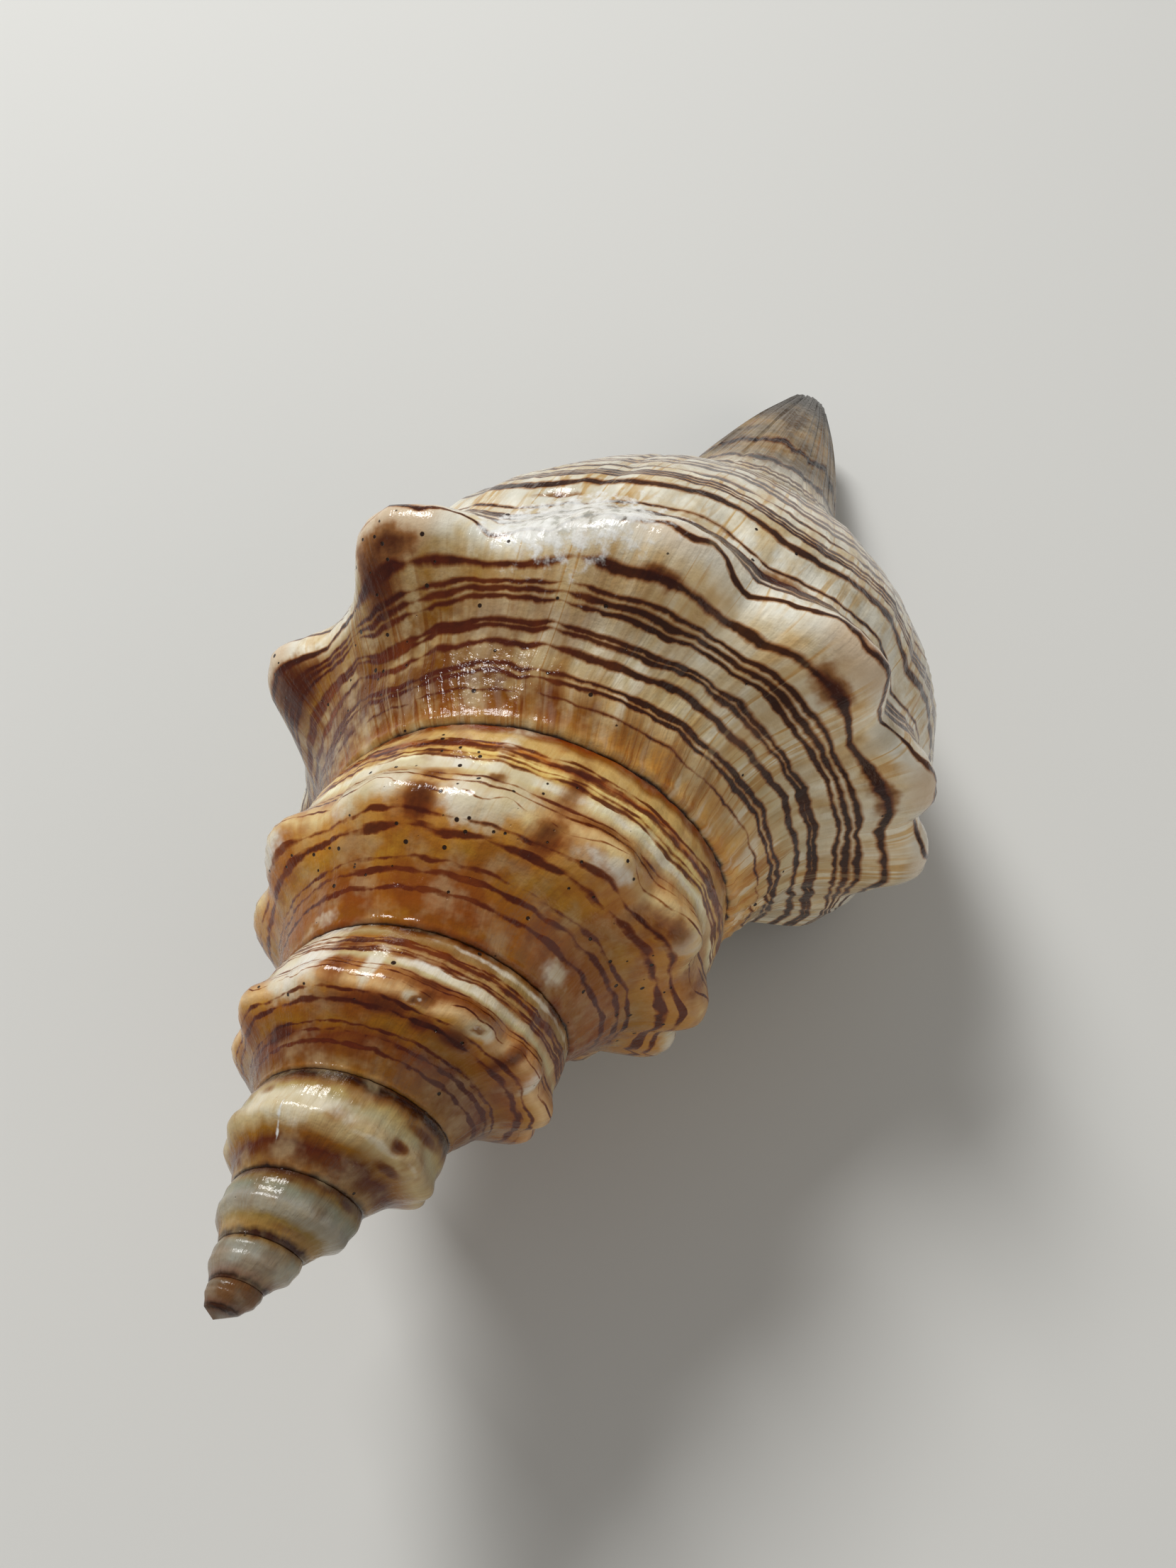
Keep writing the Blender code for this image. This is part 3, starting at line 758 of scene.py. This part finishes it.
# Ground colour from suture to suture, as share and sRGB colour.
AMBER_GROUND = (
    (0, "#AE8A50"), (0.04, "#965C18"), (0.09, "#7A4602"), (0.14, "#643002"), (0.19, "#764602"), (0.25, "#744404"),
    (0.3, "#82520A"), (0.37, "#9E7226"), (0.42, "#A28042"), (0.45, "#B0A486"), (0.5, "#CACCC0"), (1, "#CACCC0"))
IVORY_GROUND = (
    (0, "#E4A448"), (0.05, "#E4B464"), (0.1, "#DAB274"), (0.19, "#CEBC92"), (0.3, "#E0D2B2"), (0.42, "#F0E2C2"),
    (0.47, "#F2EEDE"), (0.6, "#DAD6C8"), (0.72, "#E0DCCC"), (0.9, "#D2CAB2"), (1, "#D8D0BA"))
SPIRE_GROUNDS = (  # second to sixth whorl
    ((0, "#8E4E0C"), (0.04, "#945C0C"), (0.1, "#96560A"), (0.15, "#90520C"), (0.24, "#985E14"), (0.3, "#AC7820"),
     (0.36, "#C08228"), (0.43, "#CA944A"), (0.48, "#E2C890"), (0.56, "#CCA46A"), (0.63, "#BE945E"),
     (0.675, "#DCCA98"), (0.715, "#F6F0CC"), (0.75, "#DAB462"), (0.79, "#F2D88A"), (0.82, "#BE721E"),
     (0.855, "#CCAA68"), (0.91, "#D0AA66"), (0.945, "#905818"), (0.975, "#823804"), (1, "#682804")),
    ((0, "#966822"), (0.05, "#82520C"), (0.14, "#78440C"), (0.22, "#6C3206"), (0.29, "#925E0A"), (0.36, "#96560A"),
     (0.41, "#BE8630"), (0.46, "#E8C28A"), (0.54, "#B47E44"), (0.62, "#A67038"), (0.665, "#C6B88A"),
     (0.7, "#CAAC78"), (0.745, "#925418"), (0.78, "#B48C50"), (0.83, "#9E641E"), (0.88, "#A0824C"),
     (0.92, "#AC9468"), (0.955, "#8C6028"), (0.985, "#5E3006"), (1, "#402004")),
    ((0, "#2C1606"), (0.06, "#8E6834"), (0.15, "#683806"), (0.23, "#5C2604"), (0.32, "#966412"), (0.42, "#C8B07E"),
     (0.55, "#AC9670"), (0.66, "#AEA27C"), (0.76, "#AE965E"), (0.84, "#865E2C"), (0.9, "#4C2606"),
     (0.95, "#260A02"), (1, "#44220A")),
    ((0, "#3A1C08"), (0.06, "#3A1A08"), (0.14, "#98743A"), (0.26, "#90743A"), (0.36, "#A29882"), (0.55, "#928E82"),
     (0.72, "#868672"), (0.84, "#806838"), (0.92, "#5E3C14"), (1, "#3A1A06")),
    ((0, "#543218"), (0.07, "#38200C"), (0.16, "#867264"), (0.35, "#A8A89C"), (0.6, "#9C9A8E"), (0.8, "#8C8A7A"),
     (0.93, "#7C6032"), (1, "#54320A")),
)
WHORL_CHANGES = (-0.84, -1.84, -2.84, -3.82, -4.84)  # turns at which one whorl's ground gives way to the next


def whorl_ground(add, turn, share, amber_share):
    """Ground colour of the six whorls, each with its own bands."""
    half = add("Math", (share, 1.0), "MINIMUM")
    older = add("ValToRGB", [half], stops=AMBER_GROUND)
    younger = add("ValToRGB", [half], stops=IVORY_GROUND)
    ground = add("Mix", {0: amber_share, 6: younger, 7: older}, **COLOURS)
    on_spire = add("Math", (turn, -0.999), "LESS_THAN")
    above_base = add("MapRange", (share, 0.80, 1.0, 1.0, on_spire))
    for place, bands in zip(WHORL_CHANGES, SPIRE_GROUNDS):
        earlier = add("MapRange", (turn, place, place - 0.10, 0, above_base))
        banded = add("ValToRGB", [half], stops=bands)
        ground = add("Mix", {0: earlier, 6: ground, 7: banded}, **COLOURS)
    return ground


def grown_material(name):
    """A new material with the adder of its nodes, and the turn and share at each point."""
    material = bpy.data.materials.new(name)
    material.use_nodes = True
    add = partial(node, material.node_tree)
    turn = add("SeparateXYZ", [add("UVMap", uv_map=GROWTH_MAP)])
    return material, add, turn, turn.node.outputs[1]


def polished_shell():
    """Polished aragonite shell: grown in layers, then buffed, so it is glossy with a little depth,
    and its growth edges show as fine streaks across the spiral lines."""
    material, add, turn, share = grown_material("polished aragonite shell")
    marks = {name: add("Attribute", out=2, attribute_name=name)
             for name in ("line_way", "amber", "brown", "ivory", "knob", "worn", "bored", "firm")}
    last_whorl = add("MapRange", (turn, -1.0, -0.9))
    spire_part = add("MapRange", (turn, -0.86, -1.0))
    # The spire is rubbed smooth, so its growth edges hardly show.
    calm = add("MapRange", (spire_part, 0, 1, 1.0, 0.3))

    # Growth edges lean forward beside the suture. Each kind is its width, height, seed, detail and
    # roughness. The finest are 0.2 mm apart on a real shell, and are drawn at 0.5 mm so that they show.
    lean = add("MapRange", (share, 0, 0.16, 0, 0.015))
    edge = add("Math", (turn, lean), "ADD")
    fine, bars, broad, breaks, dappled, dashes, cut = (
        growth_streaks(add, edge, share, *streaks) for streaks in (
            (0.528, 11.55, 1, 3), (2.288, 28.05, 7, 3, 0.5), (7.92, 14.85, 13), (1.144, 3.3, 31, 3),
            (2.464, 4.95, 51), (5.632, 1.65, 37), (3.52, 39.6, 43, 3)))
    wobble = growth_streaks(add, turn, share, 5.984, 3.96, 21, 1)
    clouds, blots, specks = (shell_patches(add, *patch) for patch in ((5.0, 2), (2.6, 9), (1.1, 5)))

    # Noises brought to either side of 0, each with its whole reach.
    stain, streaky, soft, swayed, jogged, ragged, striated, chalk = (
        add("Math", (noise, reach, -reach / 2), "MULTIPLY_ADD") for noise, reach in (
            (bars, 0.9), (breaks, 0.45), (blots, 1.3), (wobble, 0.034), (breaks, 0.006), (breaks, 0.56),
            (fine, 0.26), (specks, 1.2)))
    sweep, dashing, barring, cutting = (add("Math", (noise, -0.5), "ADD") for noise in (broad, dashes, bars, cut))

    # Ground, stained amber on the older part with an edge that follows the growth streaks.
    stained = add("Math", (marks["amber"], stain), "ADD", use_clamp=True)
    reach = add("MapRange", (spire_part, 0, 1, 0.06, 0.15))
    shifted = add("Math", (sweep, reach), "MULTIPLY")
    banded = add("Math", (share, shifted), "ADD", use_clamp=True)
    marbled = add("Math", (spire_part, 0.6), "MULTIPLY")
    milky = add("MapRange", (spire_part, 0, 1, 0.66, 0.34))

    # Ivory patches with streaky edges.
    rough_edge = add("Math", (streaky, calm, soft), "MULTIPLY_ADD")
    pale = add("Math", (marks["ivory"], rough_edge), "ADD")

    # Honey streaks a few millimetres apart, strongest beside the suture, and soft darker and paler growth.
    near_suture = add("MapRange", (share, 0.04, 0.30, 0.85, 0.30))
    near_suture = add("Math", (near_suture, calm), "MULTIPLY")
    honey = add("MapRange", (bars, 0.53, 0.66, 0, near_suture))
    sweet = add("Math", (last_whorl, 0.60), "MULTIPLY")
    unstained = add("MapRange", (stained, 0.1, 0.7, 0.50, 0.08))
    cream = add("Math", (last_whorl, unstained), "MULTIPLY")
    thin = add("Math", [barring], "ABSOLUTE")
    here_and_there = add("MapRange", (broad, 0.38, 0.55))
    softly = add("MapRange", (fine, 0.35, 0.70, 0.95, 1.04))
    softly = add("Mix", {0: calm, 2: 1.0, 3: softly})
    cloudy = add("MapRange", (clouds, 0.3, 0.7, 0.84, 1.12))

    # Spiral lines, ragged where growth edges cross them, broken into dashes on the spire.
    way = add("Math", (marks["line_way"], swayed), "ADD")
    way = add("Math", (way, jogged), "ADD")
    drawn = spiral_lines(add, way, LAST_LINES)
    drawn = add("Math", (drawn, last_whorl), "MULTIPLY")
    spire = spiral_lines(add, way, SPIRE_LINES)
    younger = add("MapRange", (turn, -3.0, -2.6))
    earlier = add("Math", (spire_part, younger), "MULTIPLY")
    spire = add("Math", (spire, earlier), "MULTIPLY")
    drawn = add("Math", (drawn, spire), "MAXIMUM")
    dash_reach = add("MapRange", (spire_part, 0, 1, 0.9, 2.4))
    for noise, reach in ((dashing, dash_reach), (striated, calm), (marks["firm"], 0.16)):
        ragged = add("Math", (noise, reach, ragged), "MULTIPLY_ADD")
    by_line = add("MapRange", (drawn, 0, 0.2))
    drawn = add("Math", (ragged, by_line, drawn), "MULTIPLY_ADD")
    firmest = add("MapRange", (spire_part, 0, 1, 0.96, 0.78))

    # Cream growth edges that cut across the lines.
    cut = add("Math", [cutting], "ABSOLUTE")
    seldom = add("MapRange", (broad, 0.54, 0.66))

    # Brown patches with streaky edges, those under and between the last whorl's knobs deepened as painted shade,
    # and rubbed, chalky places, scratched across.
    spread = add("Math", (marks["brown"], rough_edge), "ADD")
    chalk = add("Math", (marks["worn"], chalk), "ADD")

    # Pin holes bored by sponges, 0.2 to 0.4 mm wide, painted near-black as the shade inside them.
    holes = add("TexVoronoi", {"Vector": add("TexCoord", out=3), "Scale": 1 / (0.9 * MM), "Randomness": 1.0})
    chosen = add("SeparateColor", [holes.node.outputs["Color"]])
    rare = add("MapRange", (marks["bored"], 0, 1, 0.95, 0.30))
    size = add("MapRange", (chosen, rare, 1.0, 0.11, 0.21))
    bored = add("Math", (size, holes), "SUBTRACT")
    some = add("Math", (chosen, rare), "GREATER_THAN")

    # Distance from the suture, where the younger whorl has one, and the side of a knob that it is on, which place
    # the painted shade along the suture crease.
    from_suture = add("Math", (share, 1.0), "PINGPONG")
    from_suture = add("Math", (specks, 0.008, from_suture), "MULTIPLY_ADD")
    on_whorl = add("Math", (share, 1.02), "LESS_THAN")
    not_shoulder = add("MapRange", (turn, -0.99, -1.0))
    lower = add("Math", (share, 0.5), "LESS_THAN")
    seam = add("Math", (not_shoulder, lower), "MAXIMUM")
    below = add("MapRange", (share, 0.43, 0.47))

    # How strongly each layer is laid: its drive, where that starts and is full, and its strength there.
    (darker, milky, pale, sweet, cream, thin,  # the ground
     shoulder, tips,  # ivory shoulders and tan tips of the knobs, where the buffing went deepest
     fringe, core, cut,  # spiral lines, and the cream growth edges across them
     rim, middle,  # brown patches, deepened as painted shade under and between the last whorl's knobs, and their paler rims
     chalk, bored, suture_shade,  # rubbed places, pin holes painted dark as the shade inside them, and painted shade in the suture crease
     canal, tip) = (  # the canal's end, stained brown-grey in bands, and dark at its tip
        add("MapRange", (drive, start, full, 0, most), SOFT) for drive, start, full, most in (
            (clouds, 0.46, 0.60, marbled), (blots, 0.44, 0.74, milky), (pale, 0.34, 0.80, 0.85),
            (dappled, 0.50, 0.64, sweet), (dappled, 0.48, 0.36, cream), (thin, 0.036, 0.004, 0.85),
            (marks["knob"], 0.48, 0.70, 1), (marks["knob"], 0.66, 0.90, 0.7),
            (drawn, 0.14, 0.62, 0.9), (drawn, 0.46, 0.76, firmest), (cut, 0.020, 0.002, 0.22),
            (spread, 0.16, 0.70, 0.9), (spread, 0.45, 1.10, 0.9),
            (chalk, 0.30, 0.62, 0.85), (bored, -0.02, 0.04, 1), (from_suture, 0.013, 0.005, 1),
            (share, 1.48, 1.72, 0.95), (share, 1.86, 1.96, 0.92)))
    # These only where all their measures meet.
    thin, shoulder, cut, bored, suture_shade = (
        reduce(lambda here, there: add("Math", (here, there), "MULTIPLY"), measures) for measures in (
            (thin, here_and_there, calm), (shoulder, below, last_whorl), (cut, seldom, last_whorl), (bored, some),
            (suture_shade, on_whorl, seam)))

    # Colours that vary from place to place.
    ivory, dark_ink, red_ink, grey_brown, chalky = (
        add("ValToRGB", [noise], stops=stops) for noise, stops in (
            (clouds, ((0.35, "#D9C9A2"), (0.55, "#E2DCCB"), (0.7, "#DCDCD6"))),
            (clouds, ((0.35, "#220800"), (0.55, "#361400"), (0.72, "#582E08"))),
            (clouds, ((0.35, "#3C0C00"), (0.55, "#541A00"), (0.72, "#783604"))),
            (clouds, ((0.40, "#6C5844"), (0.5, "#948470"), (0.60, "#A68E6C"))),
            (specks, ((0.35, "#A4A39A"), (0.45, "#D6D5CE"), (0.62, "#EAEAE6")))))
    redder = add("Math", (stained, spire_part), "MAXIMUM")
    inks = add("Mix", {0: redder, 6: dark_ink, 7: red_ink}, **COLOURS)

    # Layers of colour, each laid over those before it. Fine streaks and clouds shade the ground alone.
    colour = whorl_ground(add, turn, banded, stained)
    for amount, layer, blend in (
        (darker, "#BC8A4C", "MULTIPLY"), (milky, "#CDB98E", "MIX"), (pale, ivory, "MIX"),
        (honey, "#E2BE74", "MULTIPLY"), (sweet, "#EAD09A", "MULTIPLY"), (cream, "#F2EEDC", "MIX"),
        (thin, "#E2BE80", "MULTIPLY"), (softly, None, "SCALE"), (cloudy, None, "SCALE"),
        (shoulder, "#DDD6C4", "MIX"), (tips, "#CDB08C", "MIX"), (fringe, "#B47C40", "MULTIPLY"),
        (core, inks, "MIX"), (cut, "#CDB488", "MIX"), (rim, "#B4803C", "MULTIPLY"), (middle, "#4A1A02", "MIX"),
        # Painted shade: the pin holes and the suture crease are laid near-black.
        (chalk, chalky, "MIX"), (bored, "#2A170B", "MIX"), (suture_shade, "#2C170B", "MIX"),
        (canal, grey_brown, "MULTIPLY"), (tip, "#2A2118", "MIX"),
    ):
        if blend == "SCALE":
            colour = add("VectorMath", {0: colour, 3: amount}, blend)
        else:
            colour = add("Mix", {0: amount, 6: colour, 7: layer}, blend, **COLOURS)

    dull = add("MapRange", (specks, 0.3, 0.7, 0.09, 0.20))
    dull = add("Math", (chalk, 0.15, dull), "MULTIPLY_ADD")
    raised = add("Math", (calm, 0.48), "MULTIPLY")
    streaks = add("Bump", {"Height": fine, "Strength": raised, "Distance": 0.14 * MM})
    folds = add("Bump", {"Height": bars, "Strength": raised, "Distance": 0.50 * MM, "Normal": streaks})
    ripples = add("Bump", {"Height": specks, "Strength": 0.50, "Distance": 0.26 * MM, "Normal": folds})
    sunk = add("Bump", {"Height": bored, "Strength": 0.8, "Distance": 0.25 * MM, "Normal": ripples}, invert=True)
    plug(material.node_tree, material.node_tree.nodes["Principled BSDF"], {
        "Base Color": colour, "Roughness": dull, "IOR": 1.53, "Specular IOR Level": 0.25,
        "Coat Weight": 0.07, "Coat Roughness": 0.05, "Normal": sunk})
    return material


def inner_glaze():
    """The shell's own inner glaze, laid down smooth like porcelain: cream, with red-brown ridges."""
    material, add, turn, share = grown_material("inner shell glaze")
    ground = add("ValToRGB", [shell_patches(add, 6.0, 3.0)], stops=((0.3, "#D9C6A4"), (0.7, "#EADFC8")))
    by_lip = add("MapRange", (turn, -0.10, 0.0, 0, 0.55))
    ground = add("Mix", {0: by_lip, 6: ground, 7: "#CFAE7E"}, **COLOURS)
    ridge = add("Math", (share, LIRA_GAP / 2), "PINGPONG")
    ridge = add("Math", (shell_patches(add, 1.4, 8.0), 0.006, ridge), "MULTIPLY_ADD")
    ridge = add("MapRange", (ridge, 0.013, 0.007), SOFT)
    outer_side = add("Math", (share, 2.5), "LESS_THAN")
    ridge = add("Math", (ridge, outer_side), "MULTIPLY")
    ridge = add("Math", (ridge, 0.8), "MULTIPLY")
    ground = add("Mix", {0: ridge, 6: ground, 7: "#8A4426"}, **COLOURS)
    plug(material.node_tree, material.node_tree.nodes["Principled BSDF"], {
        "Base Color": ground, "Roughness": 0.2, "IOR": 1.53, "Coat Weight": 0.3, "Coat Roughness": 0.08})
    return material


def build_shell():
    steps, rows, base_rows = SOLID_MESH
    pose = resting_pose(outer_surface(steps, np.arange(rows) / rows, base_rows, fine=False).points)
    finishes = (polished_shell(), inner_glaze())
    shell, hollow, canal = (mesh_object(name, surface, pose, finishes) for name, surface in (
        ("conch_shell", outer_surface(STEPS_PER_TURN, whorl_rows(SLOPE_ROWS), BASE_ROWS, fine=True)),
        ("hollow", hollow_surface(HOLLOW_SIDE, STEPS_PER_TURN // 2)),
        ("canal", canal_surface()),
    ))
    mesh = carved(shell, (hollow, canal))
    fit_in_box(mesh, CAD_BOX)
    markings(mesh)
    mesh.shade_smooth()
    mesh.set_sharp_from_angle(angle=SHARP_EDGE)
    return shell


def build_stage():
    mesh = bpy.data.meshes.new("table")
    corners = ((-TABLE, -TABLE, 0), (TABLE, -TABLE, 0), (TABLE, TABLE, 0), (-TABLE, TABLE, 0))
    mesh.from_pydata(corners, [], [(0, 1, 2, 3)])
    paint = bpy.data.materials.new("matt pale board")
    paint.use_nodes = True
    plug(paint.node_tree, paint.node_tree.nodes["Principled BSDF"], {"Base Color": "#D2D2CE", "Roughness": 0.85})
    mesh.materials.append(paint)
    table = placed("table", mesh)


def build_camera():
    lens = bpy.data.cameras.new("camera")
    lens.sensor_width, lens.lens = SENSOR, LENS
    lens.clip_start = 1 * MM
    camera = placed("camera", lens)
    turned = Matrix.Rotation(-CAMERA_AZIMUTH, 4, "Z") @ Matrix.Rotation(TURN / 4 - CAMERA_PITCH, 4, "X")
    turned = turned @ Matrix.Rotation(CAMERA_ROLL, 4, "Z")
    camera.matrix_world = Matrix.Translation(CAMERA_TARGET) @ turned @ Matrix.Translation((0, 0, CAMERA_DISTANCE))
    bpy.context.scene.camera = camera


def build_light():
    world = bpy.data.worlds.new("soft room")
    world.use_nodes = True
    plug(world.node_tree, world.node_tree.nodes["Background"], {"Color": "#FFFFFF", "Strength": ROOM_LIGHT})
    bpy.context.scene.world = world
    for name, side, energy, colour, place in LAMPS:
        lamp = bpy.data.lights.new(name, "AREA")
        lamp.shape = "SQUARE"
        lamp.size = side
        lamp.energy = energy
        lamp.color = linear(colour)[:3]
        stand = placed(name, lamp)
        stand.location = place
        stand.rotation_mode = "QUATERNION"
        stand.rotation_quaternion = stand.location.to_track_quat("Z", "Y")


SHARP_EDGE = math.radians(48)
TABLE = 2  # metres from its middle to each side
CAMERA_TARGET, CAMERA_DISTANCE = (-0.00098, -0.00674, 0.01656), 0.11709
CAMERA_AZIMUTH, CAMERA_PITCH, CAMERA_ROLL = (math.radians(a) for a in (-14.27, 61.32, 12.61))
SENSOR, LENS = 36, 29.3  # millimetres
ROOM_LIGHT = 0.29
# Lamps: name, side in metres, watts, colour, place.
LAMPS = (("window", 0.26, 6.0, "#FFFFFF", (-0.52, 0.27, 0.61)), ("fill", 0.9, 1.7, "#FFEEDA", (0.90, -0.30, 0.50)))

shell = build_shell()
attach(shell, "root")
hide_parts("shell")
build_stage()
build_camera()
build_light()
bpy.context.scene.view_settings.view_transform = "Standard"
